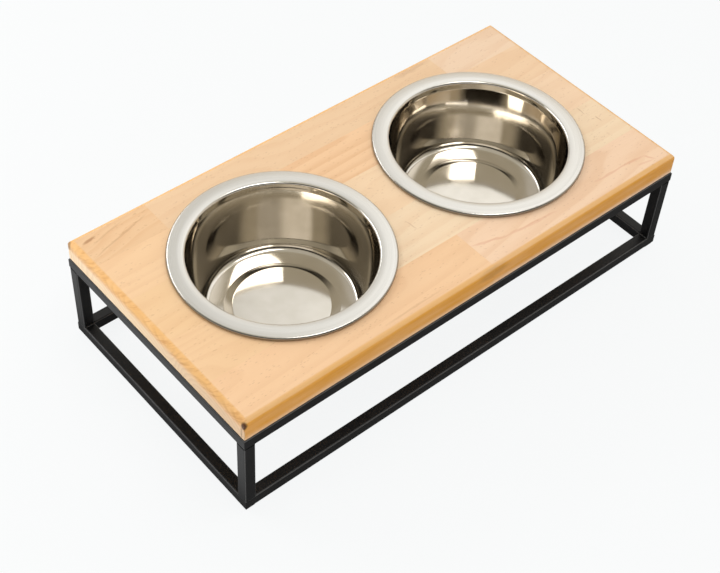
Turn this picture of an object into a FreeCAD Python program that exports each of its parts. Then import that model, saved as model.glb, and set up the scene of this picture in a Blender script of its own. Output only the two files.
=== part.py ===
import FreeCAD
import Part
import math
import os

# Raised feeding stand for a dog: two drop-in steel bowls in a beech board on a welded tube frame.
# Millimetres. X runs along the stand, Y across it and Z up. The origin is on the floor under the
# stand's middle, and the front is the long side that faces -Y.

# Bowls, pressed from stainless sheet, seated by a turned-down rim on the board's top face.
# Their bends, and the tubes' corners, are drawn as a few short flats.
sheet = 0.7
rim_radius = 88.0
rim_width = 14.5
lip_height = 3.8
lip_round = 2.0
collar_depth = 9.0
step_width = 2.5
step_drop = 2.5
wall_taper = 13.0
bowl_depth = 60.0
base_round = 6.0
foot_ring_width = 12.0
disc_slope = 6.5
disc_rise = 2.5
bend_flats = 1

# Where the bowls sit in the board.
rim_gap = 30.0
rim_end_margin = 34.0
rim_side_margin = 24.0
hole_clearance = 1.2

# Beech board, a little smaller all round than the frame that carries it.
board_thickness = 20.0
board_setback = 0.8
board_edge_round = 4.5
board_arris = 1.0

# Frame of square steel tube: mitred rings at top and bottom, legs between them.
frame_height = 84.0
tube_size = 10.0
tube_wall = 1.2
tube_corner = 1.5
tube_corner_flats = 2
top_weld_leg = 2.2
base_weld_leg = 1.2

# Pan-head screws that come up through the top ring's long rails into the board.
screw_diameter = 3.5
screw_head_diameter = 6.8
screw_head_height = 2.4
screw_cover = 6.0
screw_end_inset = 75.0
screw_side_inset = 5.0
screw_rail_clearance = 0.25
screw_pilot_clearance = 0.1
pilot_end_clearance = 0.8

# Anti-slip pads under the corners.
pad_thickness = 1.5
pad_inset = 1.0
pad_bevel = 0.3

# Sizes that follow from those above.
rim_spread = 2 * rim_radius + rim_gap
frame_length = 2 * rim_end_margin + 2 * rim_radius + rim_spread
frame_width = 2 * rim_side_margin + 2 * rim_radius
half_length = frame_length / 2
half_width = frame_width / 2
half_tube = tube_size / 2
frame_top = pad_thickness + frame_height
top_rail_bottom = frame_top - tube_size
leg_bottom = pad_thickness + tube_size
board_top = frame_top + board_thickness
board_length = frame_length - 2 * board_setback
board_width = frame_width - 2 * board_setback
collar_radius = rim_radius - rim_width
wall_top_radius = collar_radius - step_width
base_radius = wall_top_radius - wall_taper
foot_ring_radius = base_radius - foot_ring_width
disc_radius = foot_ring_radius - disc_slope
hole_radius = collar_radius + sheet + hole_clearance

X_AXIS = FreeCAD.Vector(1, 0, 0)
Y_AXIS = FreeCAD.Vector(0, 1, 0)
Z_AXIS = FreeCAD.Vector(0, 0, 1)
ORIGIN = FreeCAD.Vector(0, 0, 0)
FULL_TURN = 360
QUARTER_TURN = 90
MITRE_JOIN = 2
LEG_CORNERS = {"front_left": (-1, -1), "front_right": (1, -1), "rear_left": (-1, 1), "rear_right": (1, 1)}


def corner_arc(before, corner, after, radius):
    """Arc tangent to the two runs that meet in a corner."""
    inward = (corner - before).normalize()
    outward = (after - corner).normalize()
    half_angle = inward.getAngle(outward) / 2
    setback = radius * math.tan(half_angle)
    towards_centre = (outward - inward).normalize()
    middle = corner + towards_centre * (radius / math.cos(half_angle) - radius)
    return Part.Arc(corner - inward * setback, middle, corner + outward * setback).toShape()


def closed_face(points):
    """Flat face inside a polygon."""
    return Part.Face(Part.makePolygon(points + points[:1]))


def rounded_face(corners):
    """Flat face inside (point, radius) corners, each rounded by its radius where it has one."""
    points = [point for point, radius in corners]
    arcs = []
    stops = []
    for index, (point, radius) in enumerate(corners):
        if radius:
            arc = corner_arc(points[index - 1], point, points[(index + 1) % len(points)], radius)
            arcs.append(arc)
            stops.append((arc.firstVertex().Point, arc.lastVertex().Point))
        else:
            stops.append((point, point))
    runs = [Part.makeLine(stops[index - 1][1], stops[index][0]) for index in range(len(stops))]
    return Part.Face(Part.Wire(Part.__sortEdges__(arcs + runs)))


def bent_points(corners, flats):
    """Points through (point, radius) corners, each bend drawn as a number of short flats."""
    points = [point for point, radius in corners]
    path = []
    for index, (point, radius) in enumerate(corners):
        if radius:
            arc = corner_arc(points[index - 1], point, points[(index + 1) % len(points)], radius)
            path += arc.discretize(flats + 1)
        else:
            path.append(point)
    return path


def square_corners(size, height):
    """Corners of a square about the Z axis."""
    half = size / 2
    signs = ((-1, -1), (1, -1), (1, 1), (-1, 1))
    return [FreeCAD.Vector(along * half, across * half, height) for along, across in signs]


def square_tube(length):
    """Upright length of the frame's tube, standing on the XY plane."""
    corners = [(point, tube_corner) for point in square_corners(tube_size, 0)]
    outside = closed_face(bent_points(corners, tube_corner_flats))
    bore = closed_face(square_corners(tube_size - 2 * tube_wall, 0))
    return outside.cut(bore).extrude(Z_AXIS * length)


def mitred_rail(length, reach, bottom, screw_stations=()):
    """Rail of a ring, along X with its outer face at y = -reach, mitred and drilled for its screws."""
    half = length / 2
    rail = square_tube(length)
    rail.rotate(ORIGIN, Y_AXIS, QUARTER_TURN)
    rail.translate(FreeCAD.Vector(-half, half_tube - reach, bottom + half_tube))
    inner = half - tube_size
    plan = [(-half, -reach), (half, -reach), (inner, tube_size - reach), (-inner, tube_size - reach)]
    mitred = closed_face([FreeCAD.Vector(x, y, bottom) for x, y in plan]).extrude(Z_AXIS * tube_size)
    rail = rail.common(mitred)
    drill = screw_diameter / 2 + screw_rail_clearance
    for station in screw_stations:
        foot = FreeCAD.Vector(station, screw_side_inset - reach, bottom)
        rail = rail.cut(Part.makeCylinder(drill, tube_size, foot))
    return rail


def ring_sides():
    """Each side of a ring: its length, how far out it lies, its turn about Z and its screws' stations."""
    stations = (screw_end_inset - half_length, half_length - screw_end_inset)
    return {
        "front": (frame_length, half_width, 0, stations),
        "right": (frame_width, half_length, QUARTER_TURN, ()),
        "rear": (frame_length, half_width, 2 * QUARTER_TURN, stations),
        "left": (frame_width, half_length, 3 * QUARTER_TURN, ()),
    }


def turned(shape, angle):
    """The shape, turned about the stand's upright axis."""
    shape.rotate(ORIGIN, Z_AXIS, angle)
    return shape


def frame_rails():
    """The four rails of the bottom ring and the four of the top one."""
    rails = {}
    for side, (length, reach, angle, stations) in ring_sides().items():
        rails["base_rail_" + side] = turned(mitred_rail(length, reach, pad_thickness), angle)
        rails["top_rail_" + side] = turned(mitred_rail(length, reach, top_rail_bottom, stations), angle)
    return rails


def leg_axis(along, across, height):
    """Point on a leg's axis; along and across are -1 or 1 for the stand's ends and sides."""
    return FreeCAD.Vector(along * (half_length - half_tube), across * (half_width - half_tube), height)


def frame_legs():
    """Four legs, butted between the two rings at their corners."""
    legs = {}
    for corner, (along, across) in LEG_CORNERS.items():
        leg = square_tube(top_rail_bottom - leg_bottom)
        legs["leg_" + corner] = leg.translated(leg_axis(along, across, leg_bottom))
    return legs


def weld_fillet(rise):
    """Fillet of weld on a leg's face that looks along +X, about a leg axis, as wide as the tube's flat."""
    half = half_tube - tube_corner
    root = FreeCAD.Vector(half_tube, -half, 0)
    fillet = closed_face([root, root + X_AXIS * abs(rise), root + Z_AXIS * rise])
    return fillet.extrude(Y_AXIS * 2 * half)


def corner_welds():
    """Welds at both ends of every leg, on the two faces that look along the rails."""
    welds = []
    for along, across in LEG_CORNERS.values():
        facing = (QUARTER_TURN * (1 + along), -QUARTER_TURN * across)
        for angle in facing:
            base = turned(weld_fillet(base_weld_leg), angle)
            top = turned(weld_fillet(-top_weld_leg), angle)
            welds.append(base.translated(leg_axis(along, across, leg_bottom)))
            welds.append(top.translated(leg_axis(along, across, top_rail_bottom)))
    return Part.makeCompound(welds)


def edge_section(width, across):
    """Board section over one direction: rounded upper corners, small arrises below."""
    half = width / 2
    outline = [(-half + board_arris, frame_top, 0), (half - board_arris, frame_top, 0),
               (half, frame_top + board_arris, 0), (half, board_top, board_edge_round),
               (-half, board_top, board_edge_round), (-half, frame_top + board_arris, 0)]
    return rounded_face([(across * reach + Z_AXIS * height, radius) for reach, height, radius in outline])


def bowl_places():
    """Upright axes of the two bowls, on the board's top face."""
    return {"left": FreeCAD.Vector(-rim_spread / 2, 0, board_top),
            "right": FreeCAD.Vector(rim_spread / 2, 0, board_top)}


def screw_places():
    """Feet of the screws, on the underside of the top ring."""
    places = []
    for length, reach, angle, stations in ring_sides().values():
        turn = FreeCAD.Rotation(Z_AXIS, angle)
        feet = [FreeCAD.Vector(station, screw_side_inset - reach, top_rail_bottom) for station in stations]
        places += [turn.multVec(foot) for foot in feet]
    return places


def top_board():
    """Beech board, its rounded sections crossed, with a hole for each bowl and pilot holes below."""
    lengthwise = edge_section(board_width, Y_AXIS).extrude(X_AXIS * board_length)
    lengthwise.translate(X_AXIS * (-board_length / 2))
    crosswise = edge_section(board_length, X_AXIS).extrude(Y_AXIS * board_width)
    crosswise.translate(Y_AXIS * (-board_width / 2))
    board = lengthwise.common(crosswise)
    for place in bowl_places().values():
        board = board.cut(Part.makeCylinder(hole_radius, board_thickness, place - Z_AXIS * board_thickness))
    pilot = screw_diameter / 2 + screw_pilot_clearance
    pilot_depth = board_thickness - screw_cover + pilot_end_clearance
    for place in screw_places():
        board = board.cut(Part.makeCylinder(pilot, pilot_depth, place + Z_AXIS * tube_size))
    return board


def bowl():
    """Bowl about the Z axis with its seat at z = 0: one bent sheet, turned round."""
    skin = [(0, disc_rise - bowl_depth, 0), (disc_radius, disc_rise - bowl_depth, 0),
            (foot_ring_radius, -bowl_depth, 0), (base_radius, -bowl_depth, base_round),
            (wall_top_radius, -collar_depth - step_drop, 0), (collar_radius, -collar_depth, 0),
            (collar_radius, lip_height, 0), (rim_radius, lip_height, lip_round), (rim_radius, 0, 0)]
    corners = [(FreeCAD.Vector(out, 0, up), radius) for out, up, radius in skin]
    path = Part.makePolygon(bent_points(corners, bend_flats))
    section = path.makeOffset2D(-sheet, MITRE_JOIN, True, True)
    return section.revolve(ORIGIN, Z_AXIS, FULL_TURN)


def board_screws():
    """Four like screws, head below the rail and point in the board."""
    head = screw_head_diameter / 2
    shank = screw_diameter / 2
    length = tube_size + board_thickness - screw_cover
    half_section = [(0, -screw_head_height), (head, -screw_head_height), (head, 0), (shank, 0),
                    (shank, length), (0, length)]
    section = closed_face([FreeCAD.Vector(out, 0, up) for out, up in half_section])
    screw = section.revolve(ORIGIN, Z_AXIS, FULL_TURN)
    return Part.makeCompound([screw.translated(place) for place in screw_places()])


def foot_pads():
    """Square rubber pads stuck under the corners of the bottom ring, bevelled round the floor edge."""
    side = tube_size - 2 * pad_inset
    levels = [(side - 2 * pad_bevel, 0), (side, pad_bevel), (side, pad_thickness)]
    outlines = [closed_face(square_corners(width, height)).OuterWire for width, height in levels]
    pad = Part.makeLoft(outlines, True, True)
    return {"foot_pad_" + corner: pad.translated(leg_axis(along, across, 0))
            for corner, (along, across) in LEG_CORNERS.items()}


def stand():
    """Every piece by its name."""
    pieces = {"top_board": top_board(), "board_screws": board_screws(), "corner_welds": corner_welds()}
    pieces.update(frame_rails())
    pieces.update(frame_legs())
    pieces.update(foot_pads())
    for side, place in bowl_places().items():
        pieces["bowl_" + side] = bowl().translated(place)
    return pieces


os.makedirs("parts", exist_ok=True)
for name, shape in stand().items():
    shape.exportStep("parts/" + name + ".step")
    print(name, shape.isValid(), len(shape.Solids), round(shape.Volume, 1))
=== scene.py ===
import math
import bmesh
import bpy
from mathutils import Matrix, Vector


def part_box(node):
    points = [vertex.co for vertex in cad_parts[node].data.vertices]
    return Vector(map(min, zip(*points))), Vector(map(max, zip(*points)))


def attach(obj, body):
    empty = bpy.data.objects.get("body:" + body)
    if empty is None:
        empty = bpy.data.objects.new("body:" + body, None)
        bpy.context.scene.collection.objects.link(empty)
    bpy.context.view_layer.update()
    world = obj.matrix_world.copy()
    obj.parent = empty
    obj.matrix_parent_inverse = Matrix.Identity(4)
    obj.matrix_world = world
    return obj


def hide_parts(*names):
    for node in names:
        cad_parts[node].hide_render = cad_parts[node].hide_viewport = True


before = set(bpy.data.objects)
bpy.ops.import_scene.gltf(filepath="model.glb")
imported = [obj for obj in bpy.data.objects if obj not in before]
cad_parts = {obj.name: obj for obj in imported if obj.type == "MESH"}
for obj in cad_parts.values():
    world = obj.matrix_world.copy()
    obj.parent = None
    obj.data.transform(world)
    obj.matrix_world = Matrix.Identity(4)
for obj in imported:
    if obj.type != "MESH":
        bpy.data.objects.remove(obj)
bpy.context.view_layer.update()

scene = bpy.context.scene
scene.view_settings.view_transform = "Standard"


# Frame rails and legs
# Twelve lengths of drawn square steel tube with rounded corners. Two rings of four mitred rails and
# four legs are welded together, ground flush outside and powder coated black as one frame.

# The scene counts in metres. Materials and turned outlines count in millimetres.
MM = 0.001
TUBE_CORNER, TUBE_STEPS = 1.5 * MM, 5
RAIL_SIDES = {"front": (0, 1, 0), "right": (-1, 0, 0), "rear": (0, -1, 0), "left": (1, 0, 0)}
CORNERS = ("front_left", "front_right", "rear_left", "rear_right")
COAT_BLACK = (0.006, 0.006, 0.0064, 1)
COAT_DUST = (0.013, 0.013, 0.0137, 1)
COAT_EDGE_HIGHLIGHT = (0.075, 0.075, 0.077, 1)
COAT_GLOSS, COAT_ROUGH = 0.27, 0.36
PEEL_GRAIN, CLOUD_GRAIN = 1.1, 0.035
# How squarely a face looks along an axis: where the painted highlight on the coat's rounded edges
# begins and is full, and the flat sides. Then how squarely a cut end looks along its tube.
HIGHLIGHT_TURN, FLAT_TURN = (0.97, 0.8), 0.999
CAP_TURN = 0.1


class Wire:
    """One output in a node tree. Sums written on it become Math nodes of that tree."""

    def __init__(self, tree, socket=None):
        self.tree, self.socket = tree, socket

    def node(self, kind, settings=(), inputs=(), out=0):
        made = self.tree.nodes.new(kind)
        for name, value in dict(settings).items():
            if name == "stops":
                ramp = made.color_ramp
                ramp.interpolation = "CONSTANT"
                while len(ramp.elements) < len(value):
                    ramp.elements.new(1)
                for element, (place, colour) in zip(ramp.elements, value):
                    element.position, element.color = place, colour
            else:
                setattr(made, name, value)
        for key, value in dict(inputs).items():
            if isinstance(value, Wire):
                self.tree.links.new(value.socket, made.inputs[key])
            else:
                made.inputs[key].default_value = value
        return Wire(self.tree, made.outputs[out])

    def other(self, out):
        return Wire(self.tree, self.socket.node.outputs[out])

    def math(self, operation, *values):
        return self.node("ShaderNodeMath", {"operation": operation}, enumerate((self, *values)))

    def vector(self, operation, other, out=0):
        return self.node("ShaderNodeVectorMath", {"operation": operation}, {0: self, 1: other}, out)

    def times(self, scale):
        return self.node("ShaderNodeVectorMath", {"operation": "SCALE"}, {0: self, 3: scale})

    def parts(self):
        split = self.node("ShaderNodeSeparateXYZ", (), {0: self})
        return split, split.other(1), split.other(2)

    def step(self, low, high):
        return self.node("ShaderNodeMapRange", {"interpolation_type": "SMOOTHSTEP"},
                         {0: self, 1: low, 2: high})

    def square(self):
        """How squarely a direction runs along one of the three axes, 1 at most."""
        turned_x, turned_y, turned_z = (abs(part) for part in self.parts())
        return turned_x.math("MAXIMUM", turned_y).math("MAXIMUM", turned_z)

    def mix(self, first, second):
        return self.node("ShaderNodeMix", {"data_type": "RGBA"}, {0: self, 6: first, 7: second}, 2)

    def noise(self, scale, detail=2, roughness=0.5):
        return self.node("ShaderNodeTexNoise", (), {
            "Vector": self, "Scale": scale, "Detail": detail, "Roughness": roughness})

    def __add__(self, other):
        return self.math("ADD", other)

    def __sub__(self, other):
        return self.math("SUBTRACT", other)

    def __rsub__(self, other):
        return self.math("MULTIPLY_ADD", -1, other)

    def __mul__(self, other):
        return self.math("MULTIPLY", other)

    def __truediv__(self, other):
        return self.math("DIVIDE", other)

    def __gt__(self, other):
        return self.math("GREATER_THAN", other)

    def __lt__(self, other):
        return self.math("LESS_THAN", other)

    def __abs__(self):
        return self.math("ABSOLUTE")

    __radd__, __rmul__ = __add__, __mul__


def finish_material(name, **constants):
    material = bpy.data.materials.new(name)
    material.use_nodes = True
    shader = material.node_tree.nodes["Principled BSDF"]
    for socket, value in constants.items():
        shader.inputs[socket.replace("_", " ")].default_value = value
    place = Wire(material.node_tree).node("ShaderNodeTexCoord", (), (), "Object").times(1 / MM)
    return material, shader, place


def feed(shader, **wires):
    for socket, wire in wires.items():
        shader.id_data.links.new(wire.socket, shader.inputs[socket.replace("_", " ")])


def raised(height, strength, depth):
    return height.node("ShaderNodeBump", (), {"Height": height, "Strength": strength,
                                              "Distance": depth * MM})


def new_tree(name, **sizes):
    tree = bpy.data.node_groups.new(name, "GeometryNodeTree")
    tree.interface.new_socket("Made", in_out="OUTPUT", socket_type="NodeSocketGeometry")
    for label, kind in sizes.items():
        tree.interface.new_socket(label, in_out="INPUT", socket_type="NodeSocket" + kind)
    given = tree.nodes.new("NodeGroupInput")
    return tree, [Wire(tree, given.outputs[label]) for label in sizes]


def end_tree(made, coating):
    real = made.node("GeometryNodeRealizeInstances", (), {0: made})
    coated = made.node("GeometryNodeSetMaterial", (), {"Geometry": real, "Material": coating})
    last = made.tree.nodes.new("NodeGroupOutput")
    made.tree.links.new(coated.socket, last.inputs[0])


def grown(name, tree, start=None, **sizes):
    piece = bpy.data.objects.new(name, start or bpy.data.meshes.new(name))
    scene.collection.objects.link(piece)
    growth = piece.modifiers.new("growth", "NODES")
    growth.node_group = tree
    for item in tree.interface.items_tree:
        if item.in_out == "INPUT" and item.name in sizes:
            growth[item.identifier] = sizes[item.name]
    bake(piece)
    return piece


def bake(piece):
    shaped = piece.evaluated_get(bpy.context.evaluated_depsgraph_get())
    mesh = bpy.data.meshes.new_from_object(shaped)
    piece.modifiers.clear()
    piece.data = mesh
    mesh.name = piece.name


def settle(piece, body, slot, *nodes):
    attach(piece, body)
    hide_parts(*nodes)


black_coat, shader, place = finish_material("black_powder_coat", Specular_IOR_Level=COAT_GLOSS)
peel = place.noise(PEEL_GRAIN, 3, 0.55)
cloud = place.noise(CLOUD_GRAIN, 3)
# The rounded edges of the tubes are painted lighter than the flat sides: a painted highlight.
edge = place.node("ShaderNodeNewGeometry", (), (), "Normal").square().step(*HIGHLIGHT_TURN)
coat = (cloud.step(0.35, 0.75) * 0.6 + peel.step(0.5, 0.8) * 0.4).mix(COAT_BLACK, COAT_DUST)
feed(shader,
     Base_Color=(edge * (0.5 + cloud)).mix(coat, COAT_EDGE_HIGHLIGHT),
     Roughness=COAT_ROUGH + cloud * 0.1 + peel * 0.06,
     Normal=raised(peel, 0.16, 0.12))

square_tube, (start, end, inward, size, corner, coating) = new_tree(
    "square_tube", Start="Vector", End="Vector", Inward="Vector", Size="Float", Corner="Float",
    Coating="Material")
section = start.node("GeometryNodeCurvePrimitiveQuadrilateral", {"mode": "RECTANGLE"},
                     {"Width": size, "Height": size})
section = start.node("GeometryNodeFilletCurve", {"mode": "POLY"},
                     {"Curve": section, "Count": TUBE_STEPS, "Radius": corner})
line = start.node("GeometryNodeCurvePrimitiveLine", {"mode": "POINTS"},
                  {"Start": start, "End": end})
line = start.node("GeometryNodeSetCurveNormal", {"mode": "Z_UP"}, {"Curve": line})
bar = start.node("GeometryNodeCurveToMesh", (),
                 {"Curve": line, "Profile Curve": section, "Fill Caps": True})
along = end.vector("SUBTRACT", start)
along = start.node("ShaderNodeVectorMath", {"operation": "NORMALIZE"}, {0: along})
spot = start.node("GeometryNodeInputPosition")
spot = spot.vector("SUBTRACT", start.vector("ADD", end).times(0.5))
side = spot.vector("DOT_PRODUCT", along, 1).math("SIGN")
mitred = start.node("ShaderNodeVectorMath", {"operation": "LENGTH"}, {0: inward}, 1)
cut = (spot.vector("DOT_PRODUCT", inward, 1) + size * 0.5) * mitred * side * -1
bar = start.node("GeometryNodeSetPosition", (), {"Geometry": bar, "Offset": along.times(cut)})
facing = start.node("GeometryNodeInputNormal")
capped = abs(facing.vector("DOT_PRODUCT", along, 1)) > CAP_TURN
plain = (facing.square() > FLAT_TURN) + capped
for chosen, smooth in ((plain < 0.5, True), (plain > 0.5, False)):
    bar = start.node("GeometryNodeSetShadeSmooth", (), {
        "Geometry": bar, "Selection": chosen, "Shade Smooth": smooth})
end_tree(bar, coating)

tubes = {f"{ring}_rail_{side}": inward for ring in ("base", "top")
         for side, inward in RAIL_SIDES.items()}
tubes.update({f"leg_{corner}": (0, 0, 0) for corner in CORNERS})
for node, inward in tubes.items():
    low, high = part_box(node)
    middle, reach = (low + high) / 2, high - low
    longest = max(range(3), key=lambda axis: reach[axis])
    start, end = middle.copy(), middle.copy()
    start[longest], end[longest] = low[longest], high[longest]
    tube = grown("tube_" + node, square_tube, Start=start, End=end, Inward=inward,
                 Size=min(reach), Corner=TUBE_CORNER, Coating=black_coat)
    settle(tube, "stand", "black_frame", node)


# Corner welds
# Short fillet welds on the inner faces of the legs, where they meet the rails of both rings. They
# are left as laid, with the ripples of the torch, and the powder coat runs over them.

WELD_WIDTH = 7 * MM
TOP_WELD_LEG, BASE_WELD_LEG = 2.2 * MM, 1.2 * MM
# The bead's section for legs of 1: its throat and how hollow that is. Then the ripples along it.
WELD_THROAT, WELD_HOLLOW, WELD_STEPS = 0.47, 1.2, 5
WELD_RIPPLE, RIPPLE_TURN, RIPPLE_POINTS = 0.05, 0.9, 29

weld_bead, (places, width, coating) = new_tree("weld_bead", Places="Geometry", Width="Float",
                                                Coating="Material")
bead = places.node("GeometryNodeCurvePrimitiveQuadrilateral", {"mode": "POINTS"}, {
    "Point 1": (0, 0, 0), "Point 2": (1, 0, 0), "Point 3": (WELD_THROAT, WELD_THROAT, 0),
    "Point 4": (0, 1, 0)})
number = places.node("GeometryNodeInputIndex")
at_throat = abs(number - 2) < 0.5
bead = places.node("GeometryNodeFilletCurve", {"mode": "POLY"}, {
    "Curve": bead, "Count": WELD_STEPS, "Radius": at_throat * WELD_HOLLOW, "Limit Radius": True})
run = places.node("GeometryNodeCurvePrimitiveLine", {"mode": "POINTS"},
                  {"Start": (0, 0, -0.5), "End": (0, 0, 0.5)})
run = places.node("GeometryNodeResampleCurve", {"mode": "COUNT"},
                  {"Curve": run, "Count": RIPPLE_POINTS})
ripple = 1 - abs((number * RIPPLE_TURN).math("SINE")) * WELD_RIPPLE
run = places.node("GeometryNodeSetCurveRadius", (), {"Curve": run, "Radius": ripple})
bead = places.node("GeometryNodeCurveToMesh", (),
                   {"Curve": run, "Profile Curve": bead, "Fill Caps": True})
tall = places.node("GeometryNodeInputNamedAttribute", {"data_type": "FLOAT"}, {"Name": "leg"})
turn = places.node("GeometryNodeInputNamedAttribute", {"data_type": "FLOAT_VECTOR"},
                   {"Name": "turn"})
scaled = places.node("ShaderNodeCombineXYZ", (), {0: tall, 1: tall, 2: width})
beads = places.node("GeometryNodeInstanceOnPoints", (), {
    "Points": places, "Instance": bead, "Rotation": turn, "Scale": scaled})
end_tree(beads, coating)

weld_places, weld_legs, weld_turns = [], [], []
for corner in CORNERS:
    low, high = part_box("leg_" + corner)
    middle, half = (low + high) / 2, (high.x - low.x) / 2
    for outward in (Vector((-math.copysign(1, middle.x), 0, 0)),
                    Vector((0, -math.copysign(1, middle.y), 0))):
        for height, leg, away in ((high.z, TOP_WELD_LEG, -1), (low.z, BASE_WELD_LEG, 1)):
            upright = Vector((0, 0, away))
            turn = Matrix((outward, upright, outward.cross(upright))).transposed()
            weld_places.append((middle.x + outward.x * half, middle.y + outward.y * half, height))
            weld_legs.append(leg)
            weld_turns.extend(turn.to_euler())
weld_mesh = bpy.data.meshes.new("welds")
weld_mesh.from_pydata(weld_places, [], [])
weld_mesh.attributes.new("leg", "FLOAT", "POINT").data.foreach_set("value", weld_legs)
weld_mesh.attributes.new("turn", "FLOAT_VECTOR", "POINT").data.foreach_set("vector", weld_turns)
welds = grown("corner_weld_beads", weld_bead, weld_mesh, Width=WELD_WIDTH, Coating=black_coat)
settle(welds, "stand", "black_frame", "corner_welds")


# Board
# A beech panel glued up from five staves, some of them butted end to end, planed, with its upper
# edges rounded over and two holes bored through, then sanded and oiled.

EDGE_ROUND, EDGE_STEPS = 4.5 * MM, 9
BOARD_ARRIS, ARRIS_STEPS = 1 * MM, 3
BOARD_CORNER, CORNER_STEPS = 0.7 * MM, 4
HOLE_RADIUS, HOLE_SIDES, DRILL_LENGTH = 75.4 * MM, 192, 60 * MM
BOWL_SPACING = 103
FLAT_SIDE = 0.9995
GLUE_LINES = (-67, -19, 31, 74.5)


def paint(red, green, blue):
    """A colour as it is given, turned into the light that a shader counts in."""
    return tuple(((part / 255 + 0.055) / 1.055) ** 2.4 for part in (red, green, blue)) + (1,)


# Each lamella: where it ends along its stave, its tone, how strongly its year rings show, and the
# way it was sawn: slant of the grain, heart of the log across and below, rise of the heart.
TO_END = 999
LAMELLAE = (
    ((16, (248, 207, 165), 0.5, 0.03, 20, 60, 0.04),
     (TO_END, (249, 215, 184), 0.65, 0.03, 14, 34, 0.06)),
    ((-100, (246, 207, 163), 0.4, -0.02, -30, 50, 0.03),
     (TO_END, (248, 222, 189), 0.45, 0.02, 25, 70, 0.02)),
    ((-95, (245, 206, 160), 0.45, 0.01, 20, 60, 0.05),
     (110, (248, 217, 181), 0.4, 0.0, -18, 80, 0.03),
     (TO_END, (249, 217, 184), 0.4, 0.03, 10, 60, 0.02)),
    ((-110, (247, 208, 165), 0.45, 0.05, 20, 45, 0.03),
     (100, (247, 206, 164), 1.0, 0.05, 34, 40, 0.03),
     (TO_END, (246, 212, 176), 0.5, -0.03, 15, 50, 0.04)),
    ((-156, (240, 200, 157), 0.7, -0.29, 20, 40, 0.05),
     (144, (242, 207, 169), 0.4, 0.02, -20, 60, 0.03),
     (TO_END, (246, 216, 187), 0.5, -0.04, 10, 60, 0.03)),
)
PER_STAVE = 3
SLANT, ACROSS, BELOW, RISE = 0.4, 80, 100, 0.3
# The staves' middles, the level that a log's heart is measured from, and the year rings' width.
STAVE_PITCH, FIRST_STAVE, HEART_LEVEL = 46, 92, 95
RING_WIDTH, LATE_RISE, LATE_FALL = 4.6, (0.2, 0.85), (1.0, 0.88)
# Waves of the grain per millimetre along, across and up, and how far each lamella's are shifted.
SWAY_GRAIN = (0.009, 0.03, 0.03)
DRIFT_GRAIN = (0.018, 0.09, 0.09)
FIBRE_GRAIN = (0.035, 0.75, 0.75)
FLECK_GRAIN = (0.2, 0.8, 0.8)
WANDER_GRAIN = (0.08, 0.25, 0.25)
OWN_SHIFT = (37.0, 11.0, 23.0)
# How far the sway bends the grain across and up and the drift bends a year ring, and where the
# flecks of the wood show: their reach, and the patches that they stand in.
SWAY_ACROSS, SWAY_UP, RING_DRIFT = 26, 14, 1.5
FLECK_REACH, FLECK_GROUPS = (0.3, 0.1), (0.46, 0.6)
# Marks in the upper half of the wood: centre along and across, length, width, turn in degrees,
# strength.
UPPER_HALF = 95
MARKS = (
    (-211, 100.7, 15, 4, 12, 0.75),
    (-189.5, 90.2, 70, 2.6, 15.9, 0.3),
    (-196, 99, 40, 2.4, 15, 0.2),
    (201, -24, 12, 1.3, 84, 0.5),
    (206, -40, 10, 1.3, 88, 0.5),
    (-5, -38, 15, 1.6, 97, 0.3),
    (122, 105, 46, 9, 2, 0.25),
    (-60, -103, 70, 2.5, 1, 0.2),
)
# Year rings that the saw cut flat, so that they run out as single lines: the same values.
RING_LINES = (
    (31.8, -88.2, 40, 3, -16, 0.4),
    (70, -94.5, 64, 3.6, -5, 0.4),
    (162, -93, 40, 3, -1, 0.36),
    (189, -94.2, 34, 3, -6, 0.4),
    (204, -99.3, 13, 2.6, -53, 0.36),
    (197, -102, 20, 2.4, -10, 0.28),
)
# Knots and burrs on the edges: where they are, their reach, strength.
KNOTS = (
    ((-224, -110, 101), (3.2, 2.6, 4.5), 1.0),
    ((-224, 109.5, 101), (4, 3, 5), 0.55),
    ((-224, -108, 93), (2, 1.2, 8), 0.4),
    ((15, -111.5, 100), (17, 4, 6), 0.2),
)
KNOT_RIM, KNOT_WANDER = (1.15, 0.55), 0.8
STREAK, RING_PINK = paint(158, 98, 50), paint(216, 140, 98)
KNOT = paint(92, 56, 26)
LATE_WOOD, PALE_WOOD = paint(222, 168, 118), (0.98, 0.74, 0.50, 1)
HATCH = paint(208, 142, 72)
EDGE_GOLD, SIDE_GOLD = paint(241, 188, 118), paint(226, 156, 46)
# The end faces: the end grain's own paler tone with painted light on it, palest low down and
# towards the rear, where light falls from the rear-left, and more tan towards the front.
END_PALE_LIT, END_TAN_SHADED = paint(252, 226, 191), paint(234, 202, 165)
# Where the tones of the edges begin and are full: out from where the rounding starts, or along,
# across and up from the middle of the floor.
GOLD_OUT, GOLD_UP = (-0.4, 1.6), (96.5, 101.5)
SIDE_ACROSS, SIDE_UP = (110.2, 110.9), (85, 92.5)
HATCH_ALONG, HATCH_UP = (219.6, 221.5), (97, 99.5)
END_ALONG, END_UP, END_LIGHT_ACROSS = (223.2, 224), (97.5, 95.5), (-90, 60)
END_RINGS_ALONG = (221, 224)
# The hatching on the rounded end edges: its waves over its lines, with them and inwards, and how
# high a wave has to be to show.
HATCH_OVER, HATCH_WITH, HATCH_IN = (0.3, 0.5), (0.04, 0.03), 0.1
HATCH_WAVE = (0.48, 0.66)

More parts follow.
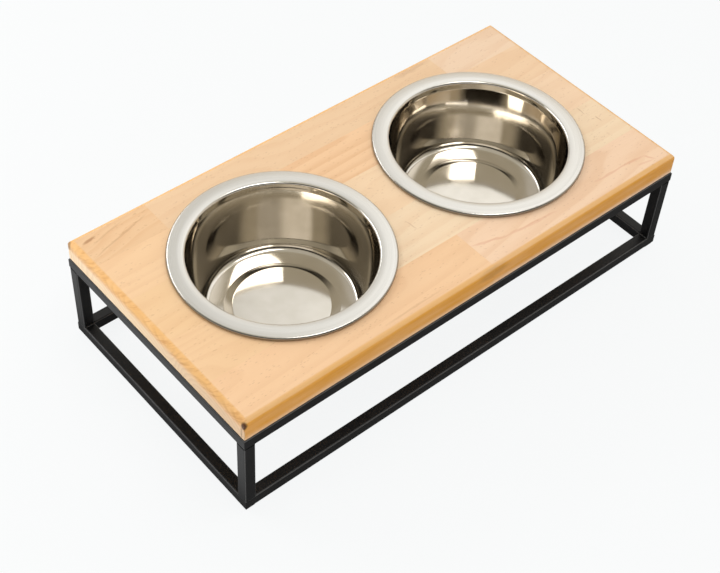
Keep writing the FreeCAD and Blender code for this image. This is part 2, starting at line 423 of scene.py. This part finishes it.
low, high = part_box("top_board")
oiled_beech, shader, place = finish_material("oiled_beech", Specular_IOR_Level=0.4)
along, across, up = place.parts()
stave = across > GLUE_LINES[0]
for glue_line in GLUE_LINES[1:]:
    stave = stave + (across > glue_line)
number = stave * PER_STAVE
for row, lamellae in enumerate(LAMELLAE):
    for lamella in lamellae[:-1]:
        number = number + (along > lamella[0]) * (abs(stave - row) < 0.5)
count = len(LAMELLAE) * PER_STAVE
tones, cuts = [], []
for row, lamellae in enumerate(LAMELLAE):
    for order, (_, tone, ringed, slant, heart, below, rise) in enumerate(lamellae):
        start = (row * PER_STAVE + order) / count
        sawn = (slant / SLANT / 2 + 0.5, heart / ACROSS / 2 + 0.5, below / BELOW, rise / RISE)
        tones.append((start, (*paint(*tone)[:3], ringed)))
        cuts.append((start, sawn))
which = (number + 0.5) / count
tone = which.node("ShaderNodeValToRGB", {"stops": tones}, {0: which})
ringed = tone.other(1)
cut = which.node("ShaderNodeValToRGB", {"stops": cuts}, {0: which})
slant, heart, below = cut.parts()
slant = (slant - 0.5) * (SLANT * 2)
heart = (heart - 0.5) * (ACROSS * 2)
below = below * BELOW
rise = cut.other(1) * RISE

# Every lamella has its own run of noise, so the grain stops at the glue lines.
own = which.node("ShaderNodeCombineXYZ", (),
                 {axis: number * shift for axis, shift in enumerate(OWN_SHIFT)})
own = place.vector("ADD", own)
sway = own.vector("MULTIPLY", SWAY_GRAIN).noise(1, 1) - 0.5
drift = own.vector("MULTIPLY", DRIFT_GRAIN).noise(1, 3) - 0.5
fibre = own.vector("MULTIPLY", FIBRE_GRAIN).noise(1, 4, 0.65) - 0.5
to_heart = across - stave * STAVE_PITCH + FIRST_STAVE - heart + slant * along + sway * SWAY_ACROSS
over_heart = up - HEART_LEVEL + below + rise * along + sway * SWAY_UP
ring = (to_heart * to_heart + over_heart * over_heart).math("SQRT") + drift * RING_DRIFT
ring = (ring / RING_WIDTH).math("FRACT")
late = ring.step(*LATE_RISE) * ring.step(*LATE_FALL)
cell = own.vector("MULTIPLY", FLECK_GRAIN)
fleck = cell.node("ShaderNodeTexVoronoi", (), {"Vector": cell, "Scale": 1.0, "Randomness": 1.0})
fleck = fleck.step(*FLECK_REACH) * cell.noise(0.35, 1).step(*FLECK_GROUPS)

grain = (late * ringed * 0.34 + fibre * 0.22 + drift * 0.25).math("MAXIMUM", 0)
wood = grain.mix(tone, LATE_WOOD)
wood = (fibre * 0.3 - drift * 0.35).math("MAXIMUM", 0).mix(wood, PALE_WOOD)
wood = (fleck * 0.32).mix(wood, STREAK)

wander = own.vector("MULTIPLY", WANDER_GRAIN).noise(1, 2) - 0.5
for (centre_x, centre_y, length, width, turn, strength), stain in (
        *((mark, STREAK) for mark in MARKS), *((line, RING_PINK) for line in RING_LINES)):
    angle = math.radians(turn)
    step_along, step_across = along - centre_x, across - centre_y
    run = step_along * math.cos(angle) + step_across * math.sin(angle)
    off = step_across * math.cos(angle) - step_along * math.sin(angle) + wander * width
    shape = 1 - (run / (length / 2)).math("POWER", 2) - (off / (width / 2)).math("POWER", 2)
    wood = (shape.step(0, 0.9) * strength * (0.75 + fibre) * (up > UPPER_HALF)).mix(wood, stain)

flat_length, flat_width = (high.x - EDGE_ROUND) / MM, (high.y - EDGE_ROUND) / MM
edge = (abs(along) - flat_length).math("MAXIMUM", abs(across) - flat_width)
mottle = 0.85 + fibre * 0.5 + drift * 0.7
wood = (edge.step(*GOLD_OUT) * up.step(*GOLD_UP) * mottle).mix(wood, EDGE_GOLD)
wood = (abs(across).step(*SIDE_ACROSS) * up.step(*SIDE_UP) * mottle).mix(wood, SIDE_GOLD)
hatch = place.node("ShaderNodeCombineXYZ", (), {
    0: across * HATCH_OVER[0] + up * HATCH_OVER[1],
    1: across * HATCH_WITH[0] - up * HATCH_WITH[1],
    2: along * HATCH_IN})
hatch = hatch.noise(1, 3, 0.6).step(*HATCH_WAVE)
wood = (abs(along).step(*HATCH_ALONG) * up.step(*HATCH_UP) * hatch * 0.5).mix(wood, HATCH)
# Painted light on the end grain: paler low down and towards the rear, more tan towards the front.
end_grain = abs(along).step(*END_ALONG) * up.step(*END_UP)
end_grain_and_light = across.step(*END_LIGHT_ACROSS).mix(END_TAN_SHADED, END_PALE_LIT)
wood = (end_grain * (0.8 + drift * 0.5)).mix(wood, end_grain_and_light)
wood = (abs(along).step(*END_RINGS_ALONG) * late * 0.13).mix(wood, STREAK)
for centre, reach, strength in KNOTS:
    away = place.vector("SUBTRACT", centre).vector("DIVIDE", reach)
    away = place.node("ShaderNodeVectorMath", {"operation": "LENGTH"}, {0: away}, 1)
    away = away + wander * KNOT_WANDER
    wood = (away.step(*KNOT_RIM) * strength).mix(wood, KNOT)
feed(shader,
     Base_Color=wood,
     Roughness=0.47 + fibre * 0.14 - late * 0.04,
     Normal=raised(fibre - fleck * 0.5, 0.1, 0.12))

levels = []
for step in range(ARRIS_STEPS + 1):
    angle = math.pi / 2 * step / ARRIS_STEPS
    inset = BOARD_ARRIS * (1 - math.sin(angle))
    levels.append((low.z + BOARD_ARRIS * (1 - math.cos(angle)), inset))
for step in range(EDGE_STEPS + 1):
    angle = math.pi / 2 * step / EDGE_STEPS
    inset = EDGE_ROUND * (1 - math.cos(angle))
    levels.append((high.z - EDGE_ROUND * (1 - math.sin(angle)), inset))
panel = bmesh.new()
rows = []
for height, inset in levels:
    row = []
    for quarter in range(4):
        right, rear = quarter in (0, 3), quarter in (0, 1)
        centre_x = (high.x - inset - BOARD_CORNER) * (1 if right else -1)
        centre_y = (high.y - inset - BOARD_CORNER) * (1 if rear else -1)
        for step in range(CORNER_STEPS + 1):
            angle = math.pi / 2 * (quarter + step / CORNER_STEPS)
            row.append(panel.verts.new((centre_x + BOARD_CORNER * math.cos(angle),
                                        centre_y + BOARD_CORNER * math.sin(angle), height)))
    rows.append(row)
for lower, upper in zip(rows, rows[1:]):
    for here in range(len(lower)):
        after = (here + 1) % len(lower)
        panel.faces.new((lower[here], lower[after], upper[after], upper[here]))
panel.faces.new(rows[-1])
panel.faces.new(rows[0][::-1])
board_mesh = bpy.data.meshes.new("glued_board")
panel.to_mesh(board_mesh)
board = bpy.data.objects.new("glued_board", board_mesh)
scene.collection.objects.link(board)
drills = []
for side in (-1, 1):
    drill = bmesh.new()
    centre = Matrix.Translation((side * BOWL_SPACING * MM, 0, (low.z + high.z) / 2))
    bmesh.ops.create_cone(drill, cap_ends=True, segments=HOLE_SIDES, radius1=HOLE_RADIUS,
                          radius2=HOLE_RADIUS, depth=DRILL_LENGTH, matrix=centre)
    drill_mesh = bpy.data.meshes.new("drill")
    drill.to_mesh(drill_mesh)
    drills.append(bpy.data.objects.new("drill", drill_mesh))
    scene.collection.objects.link(drills[-1])
    bore = board.modifiers.new("bore", "BOOLEAN")
    bore.operation, bore.solver, bore.object = "DIFFERENCE", "EXACT", drills[-1]
bake(board)
for drill in drills:
    bpy.data.objects.remove(drill)
board.data.materials.clear()
board.data.materials.append(oiled_beech)
for face in board.data.polygons:
    face.use_smooth = max(abs(part) for part in face.normal) < FLAT_SIDE
board.data.update()
settle(board, "stand", "beech", "top_board")


# Board screws
# Four zinc plated pan head screws with a cross recess. They go up through the long top rails from
# below and pull the board down on the frame.

SCREW_HEAD, SCREW_RISE, SCREW_SHANK, SCREW_TOP = 3.4, 2.4, 1.75, 24
HEAD_TAPER, HEAD_DOME, HEAD_ARRIS, NECK_ROUND = 0.4, 1.6, 0.25, 0.2
POINT_LENGTH, POINT_ROUND = 4, 2
SCREW_SIDES, SCREW_STEPS = 40, 4
RECESS_LENGTH, RECESS_WIDTH, RECESS_DEPTH = 3.6, 0.8, 1.3
ZINC, ZINC_BLUE = (0.56, 0.57, 0.60, 1), (0.42, 0.45, 0.52, 1)
SMOKE_GRAIN, PLATE_GRAIN = 0.5, 6
# For turning an outline: what keeps whole numbers from rounding down, and the gap that is closed.
NUDGE, SEAM = 0.0001, 0.01 * MM

zinc_plate, shader, place = finish_material("zinc_plate", Metallic=1.0)
smoke = place.noise(SMOKE_GRAIN, 3)
feed(shader,
     Base_Color=smoke.step(0.4, 0.7).mix(ZINC, ZINC_BLUE),
     Roughness=0.26 + smoke * 0.2,
     Normal=raised(place.noise(PLATE_GRAIN, 2), 0.1, 0.03))

turned, (outline, sides, steps) = new_tree("turned", Outline="Geometry", Sides="Int", Steps="Int")
bend = outline.node("GeometryNodeInputNamedAttribute", {"data_type": "FLOAT"}, {"Name": "bend"})
outline = outline.node("GeometryNodeMeshToCurve", (), {0: outline})
outline = outline.node("GeometryNodeFilletCurve", {"mode": "POLY"}, {
    "Curve": outline, "Count": steps, "Radius": bend, "Limit Radius": True})
points = outline.node("GeometryNodeAttributeDomainSize", {"component": "CURVE"}, {0: outline})
sheet = outline.node("GeometryNodeMeshGrid", (), {"Vertices X": sides + 1, "Vertices Y": points})
number = outline.node("GeometryNodeInputIndex")
row = number.math("FLOORED_MODULO", points)
angle = (number / points + NUDGE).math("FLOOR") / sides * (2 * math.pi)
at = outline.node("GeometryNodeInputPosition")
at = outline.node("GeometryNodeSampleIndex", {"data_type": "FLOAT_VECTOR", "domain": "POINT"},
                  {"Geometry": outline, "Value": at, "Index": row})
radius, _, height = at.parts()
round_x, round_y = radius * angle.math("COSINE"), radius * angle.math("SINE")
at = outline.node("ShaderNodeCombineXYZ", (), {0: round_x, 1: round_y, 2: height})
sheet = outline.node("GeometryNodeSetPosition", (), {"Geometry": sheet, "Position": at})
sheet = outline.node("GeometryNodeMergeByDistance", (), {"Geometry": sheet, "Distance": SEAM})
sheet = outline.node("GeometryNodeSetShadeSmooth", (), {"Geometry": sheet, "Shade Smooth": True})
last = turned.nodes.new("NodeGroupOutput")
turned.links.new(sheet.socket, last.inputs[0])


def outline_mesh(name, points):
    mesh = bpy.data.meshes.new(name)
    mesh.from_pydata([(radius * MM, 0, height * MM) for radius, height, _ in points],
                     [(here, here + 1) for here in range(len(points) - 1)], [])
    bends = mesh.attributes.new("bend", "FLOAT", "POINT")
    bends.data.foreach_set("value", [bend * MM for _, _, bend in points])
    return mesh


screw_set, (outline, places, plating) = new_tree("screw_set", Outline="Geometry", Places="Object",
                                                  Plating="Material")
screw = outline.node("GeometryNodeGroup", {"node_tree": turned},
                     {"Outline": outline, "Sides": SCREW_SIDES, "Steps": SCREW_STEPS})
slots = outline.node("GeometryNodeJoinGeometry")
for long, wide in ((RECESS_LENGTH, RECESS_WIDTH), (RECESS_WIDTH, RECESS_LENGTH)):
    box = outline.node("GeometryNodeMeshCube", (),
                       {"Size": (long * MM, wide * MM, RECESS_DEPTH * 2 * MM)})
    box = outline.node("GeometryNodeTransform", (),
                       {"Geometry": box, "Translation": (0, 0, -SCREW_RISE * MM)})
    slots.tree.links.new(box.socket, slots.socket.node.inputs[0])
screw = outline.node("GeometryNodeMeshBoolean", {"operation": "DIFFERENCE", "solver": "EXACT"},
                     {"Mesh 1": screw, "Mesh 2": slots, "Self Intersection": True})
holes = outline.node("GeometryNodeObjectInfo", (), {"Object": places}, "Geometry")
screws = outline.node("GeometryNodeInstanceOnPoints", (), {"Points": holes, "Instance": screw})
end_tree(screws, plating)

low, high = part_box("board_screws")
hole_x, hole_y = high.x - SCREW_HEAD * MM, high.y - SCREW_HEAD * MM
rail_under = low.z + SCREW_RISE * MM
spots = bpy.data.meshes.new("screw_holes")
spots.from_pydata([(side_x * hole_x, side_y * hole_y, rail_under)
                   for side_x in (-1, 1) for side_y in (-1, 1)], [], [])
screw_holes = bpy.data.objects.new("screw_holes", spots)
scene.collection.objects.link(screw_holes)
screw_outline = outline_mesh("screw", (
    (0, -SCREW_RISE, 0),
    (SCREW_HEAD - HEAD_TAPER, -SCREW_RISE, HEAD_DOME),
    (SCREW_HEAD, 0, HEAD_ARRIS),
    (SCREW_SHANK, 0, NECK_ROUND),
    (SCREW_SHANK, SCREW_TOP - POINT_LENGTH, POINT_ROUND),
    (0, SCREW_TOP, 0)))
screws = grown("pan_head_screws", screw_set, screw_outline, Places=screw_holes, Plating=zinc_plate)
bpy.data.objects.remove(screw_holes)
settle(screws, "stand", "screw_steel", "board_screws")


# Foot pads
# Thin square rubber pads stuck under the four corners of the base ring, so that the steel neither
# slips on the floor nor scratches it.

RUBBER, RUBBER_WORN = (0.026, 0.026, 0.027, 1), (0.06, 0.058, 0.055, 1)
GRIT_GRAIN, WEAR_DOWN = 3.5, (0.8, 0.0)

pad_rubber, shader, place = finish_material("pad_rubber", Specular_IOR_Level=0.3)
_, _, up = place.parts()
grit = place.noise(GRIT_GRAIN, 3, 0.6)
feed(shader,
     Base_Color=(grit.step(0.45, 0.75) * up.step(*WEAR_DOWN)).mix(RUBBER, RUBBER_WORN),
     Roughness=0.78 + grit * 0.15,
     Normal=raised(grit, 0.3, 0.08))
for corner in CORNERS:
    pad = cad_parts["foot_pad_" + corner]
    pad.data.materials.clear()
    pad.data.materials.append(pad_rubber)


# Bowls
# Two bowls deep drawn from stainless sheet, with a raised disc in the base, a short upright collar
# and a wide rim turned down at its edge. They hang loose in the holes by the rim, which is brushed.

SHEET = 0.7
BOWL_SIDES, BOWL_STEPS = 160, 6
WALL_STEEL, WALL_WARM = (0.77, 0.72, 0.645, 1), (0.73, 0.68, 0.60, 1)
BASE_STEEL, BASE_WARM = (0.69, 0.645, 0.575, 1), (0.65, 0.605, 0.53, 1)
RIM_STEEL, RIM_WORN = (0.75, 0.73, 0.69, 1), (0.66, 0.64, 0.60, 1)
BEAD_PAINTED_SHADE, BEAD_SHADE_SHARE = (0.24, 0.22, 0.19, 1), 0.85
# Radii and heights where the rim, the painted shade on the bead at its edge and the base begin
# and are full.
RIM_OUT, RIM_UP = (74.2, 75.6), (104, 105.5)
BEAD_SHADE_OUT, BASE_DOWN = (87.3, 88.3), (50.5, 47.5)
# The fine turned lines, over the sheet and round it, and the smears of polish.
LINE_GRAIN, LINE_TURN, SMEAR_GRAIN = 5.5, 0.7, 0.06
# The upper skin of the sheet from the middle of the base to the lip: radius, height over the
# board, radius of the bend.
BOWL_SKIN = (
    (0, -57.5, 0), (20, -57.45, 60), (39.5, -57.5, 4), (46, -60, 4), (62.4, -60, 6), (73.9, -3, 16),
    (74.1, 3.4, 2.2), (79.5, 3.8, 30), (88.6, 3.6, 1.75), (88.6, 0.05, 1.75), (86.6, 0.05, 0),
)


def bowl_steel(name, inside):
    steel, shader, place = finish_material(name, Metallic=1.0)
    along, across, up = place.parts()
    out = abs(along) - BOWL_SPACING
    radius = (out * out + across * across).math("SQRT")
    angle = across.math("ARCTAN2", out)
    turning = place.node("ShaderNodeCombineXYZ", (), {
        0: radius * LINE_GRAIN, 1: up * LINE_GRAIN, 2: angle * LINE_TURN})
    lines = turning.noise(1, 3, 0.65)
    smear = place.noise(SMEAR_GRAIN, 3)
    rim = radius.step(*RIM_OUT) * up.step(*RIM_UP)
    # The bead at the rim's edge is painted dark: painted shade and a painted dark reflection where
    # the rim turns down to the board.
    bead = radius.step(*BEAD_SHADE_OUT) * BEAD_SHADE_SHARE
    base = up.step(*BASE_DOWN)
    if inside:
        rough = 0.03 + smear * 0.04 + lines * 0.02 + rim * (0.15 + lines * 0.08) + base * 0.06
        strength = 0.06
    else:
        rough = 0.24 + smear * 0.08 + lines * 0.1
        strength = 0.25
    tint = smear.step(0.3, 0.7)
    body = base.mix(tint.mix(WALL_STEEL, WALL_WARM), tint.mix(BASE_STEEL, BASE_WARM))
    brushed = lines.step(0.35, 0.7).mix(RIM_STEEL, RIM_WORN)
    feed(shader,
         Base_Color=bead.mix(rim.mix(body, brushed), BEAD_PAINTED_SHADE),
         Roughness=rough,
         Normal=raised(lines * (0.25 + rim), strength, 0.02))
    return steel


polished_steel, drawn_steel = bowl_steel("polished_steel", True), bowl_steel("drawn_steel", False)
pressed_bowl, (outline, sides, steps, centre, polish) = new_tree(
    "pressed_bowl", Outline="Geometry", Sides="Int", Steps="Int", Centre="Vector",
    Polish="Material")
skin = outline.node("GeometryNodeGroup", {"node_tree": turned},
                    {"Outline": outline, "Sides": sides, "Steps": steps})
skin = outline.node("GeometryNodeFlipFaces", (), {0: skin})
skin = outline.node("GeometryNodeTransform", (), {"Geometry": skin, "Translation": centre})
end_tree(skin, polish)
board_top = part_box("top_board")[1].z
for side, node in ((-1, "bowl_left"), (1, "bowl_right")):
    bowl = grown("pressed_" + node, pressed_bowl, outline_mesh("bowl_skin", BOWL_SKIN),
                 Sides=BOWL_SIDES, Steps=BOWL_STEPS, Polish=polished_steel,
                 Centre=(side * BOWL_SPACING * MM, 0, board_top))
    bowl.data.materials.append(drawn_steel)
    wall = bowl.modifiers.new("sheet", "SOLIDIFY")
    wall.thickness, wall.offset, wall.use_even_offset = SHEET * MM, -1, True
    wall.material_offset = 1
    bake(bowl)
    settle(bowl, node, "bowl_steel", node)


# Studio
# A white floor that keeps a faint shadow, a strip light overhead and a wide window behind the
# stand, both seen in the polished bowls with the room around them, and two fills for the sides.

FLOOR_REACH, FLOOR_SIDES = 9, 96
# The floor is white to look at. In reflections it shows white on the left of the stand and shaded
# everywhere else.
FLOOR_WHITE, FLOOR_SHADE = (0.972, 0.985, 0.99, 1), (0.18, 0.18, 0.18, 1)
FLOOR_MATT, FLOOR_GLOW = (0.82, 0.82, 0.82, 1), 0.9
FLOOR_LEFT = (-0.225, -0.255)
# The room as it shows in the steel: white low down all round, tan above it, a pale wall behind the
# stand, dim overhead and dark behind the camera.
ROOM_PALE, ROOM_TAN = (0.95, 0.957, 0.96, 1), (0.72, 0.62, 0.48, 1)
ROOM_WALL, ROOM_BRIGHT = (0.74, 0.73, 0.70, 1), (1.28, 1.28, 1.26, 1)
ROOM_DIM, ROOM_DARK = (0.58, 0.55, 0.47, 1), (0.018, 0.015, 0.011, 1)
# The ways to the wall and to its right, and where each tone begins and is full: away from the
# camera, to the right, or up.
TO_WALL, TO_RIGHT = (0.684, 0.729, 0), (0.729, -0.684, 0)
DIM_AWAY, DIM_UP = (-0.5, 0.1), (0.62, 0.86)
WALL_AWAY, WALL_UP, BRIGHT_RIGHT = (0.35, 0.6), (0.92, 0.84), (-0.25, 0.1)
TAN_AWAY, TAN_UP, TAN_RIGHT = (-0.35, 0.15), (0.66, 0.44), (-0.7, -0.2)
DARK_UP, DARK_RIGHT = (0.5, 0.4), (-0.35, -0.6)
PALE_UP = (0.26, 0.18)
# Lamps: where they hang, the way their long side runs, how far off, width, length, brightness, and
# whether they show in the steel. They point at the middle of the board.
LIT_POINT, UPRIGHT = Vector((0, 0, 0.09)), Vector((0, 0, 1))
LAMPS = (
    ("light_above", (0.07, -0.27, 0.96), Vector((0.93, 0.366, 0)), 1.8, 0.5, 1.2, 4.4, True),
    ("light_window", (-0.24, 0.79, 0.565), UPRIGHT, 2.0, 1.8, 0.4, 4.4, True),
    ("light_left", (-0.72, 0.67, 0.17), UPRIGHT, 1.1, 0.6, 0.35, 7.2, False),
    ("light_front", (-0.15, -0.93, 0.33), UPRIGHT, 1.8, 1.2, 0.8, 1.7, False),
)
# The camera: its place, its lens, and how far it is turned, raised and rolled in degrees.
CAMERA_PLACE = (-0.5744, -0.5907, 0.8964)
SENSOR_WIDTH, LENS_LENGTH = 36, 71.635
CAMERA_TURNS = (-43.189, 47.519, 3.872)

floor_paint = bpy.data.materials.new("white_floor")
floor_paint.use_nodes = True
tree = floor_paint.node_tree
tree.nodes.clear()
rays = Wire(tree).node("ShaderNodeLightPath", (), (), "Is Camera Ray")
mirrored = rays.other("Is Glossy Ray")
seen = rays.math("MAXIMUM", mirrored).math("MAXIMUM", rays.other("Is Transmission Ray"))
matt = rays.node("ShaderNodeBsdfDiffuse", (), {"Color": FLOOR_MATT})
along, _, _ = rays.node("ShaderNodeTexCoord", (), (), "Object").parts()
shade = along.step(*FLOOR_LEFT).mix(FLOOR_SHADE, FLOOR_WHITE)
shade = mirrored.mix(FLOOR_WHITE, shade)
white = rays.node("ShaderNodeEmission", (), {"Color": shade, "Strength": 1.0})
both = rays.node("ShaderNodeMixShader", (), {0: seen * FLOOR_GLOW, 1: matt, 2: white})
last = tree.nodes.new("ShaderNodeOutputMaterial")
tree.links.new(both.socket, last.inputs["Surface"])
bpy.ops.mesh.primitive_circle_add(vertices=FLOOR_SIDES, radius=FLOOR_REACH, fill_type="NGON")
floor = bpy.context.object
floor.name = "studio_floor"
floor.data.materials.append(floor_paint)

world = bpy.data.worlds.new("studio_room")
scene.world = world
world.use_nodes = True
tree = world.node_tree
sky = Wire(tree).node("ShaderNodeTexCoord", (), (), "Generated")
_, _, rise = sky.parts()
away = sky.vector("DOT_PRODUCT", TO_WALL, 1)
to_right = sky.vector("DOT_PRODUCT", TO_RIGHT, 1)
turned_away = away / (1 - rise * rise).math("SQRT")
room = away.step(*DIM_AWAY).math("MAXIMUM", rise.step(*DIM_UP)).mix(ROOM_DARK, ROOM_DIM)
wall = to_right.step(*BRIGHT_RIGHT).mix(ROOM_WALL, ROOM_BRIGHT)
room = (turned_away.step(*WALL_AWAY) * rise.step(*WALL_UP)).mix(room, wall)
low_wall = turned_away.step(*TAN_AWAY) * to_right.step(*TAN_RIGHT)
room = (low_wall * rise.step(*TAN_UP)).mix(room, ROOM_TAN)
room = (rise.step(*DARK_UP) * to_right.step(*DARK_RIGHT)).mix(room, ROOM_DARK)
room = rise.step(*PALE_UP).mix(room, ROOM_PALE)
tree.links.new(room.socket, tree.nodes["Background"].inputs["Color"])

for name, towards, lead, distance, wide, tall, bright, shows in LAMPS:
    lamp = bpy.data.lights.new(name, "AREA")
    lamp.shape, lamp.size, lamp.size_y = "RECTANGLE", wide, tall
    lamp.energy = bright * math.pi * wide * tall
    light = bpy.data.objects.new(name, lamp)
    scene.collection.objects.link(light)
    towards = Vector(towards).normalized()
    tilt = (lead - towards * lead.dot(towards)).normalized()
    light.matrix_world = Matrix.Translation(LIT_POINT + towards * distance) @ Matrix(
        (tilt.cross(towards), tilt, towards)).transposed().to_4x4()
    light.visible_camera, light.visible_glossy = False, shows

lens = bpy.data.cameras.new("camera")
lens.sensor_width, lens.lens = SENSOR_WIDTH, LENS_LENGTH
camera = bpy.data.objects.new("camera", lens)
scene.collection.objects.link(camera)
azimuth, elevation, roll = (math.radians(angle) for angle in CAMERA_TURNS)
back = Vector((math.sin(azimuth) * math.cos(elevation), -math.cos(azimuth) * math.cos(elevation),
               math.sin(elevation)))
level = Vector((math.cos(azimuth), math.sin(azimuth), 0))
right = level * math.cos(roll) + back.cross(level) * math.sin(roll)
camera.matrix_world = Matrix.Translation(CAMERA_PLACE) @ Matrix(
    (right, back.cross(right), back)).transposed().to_4x4()
scene.camera = camera
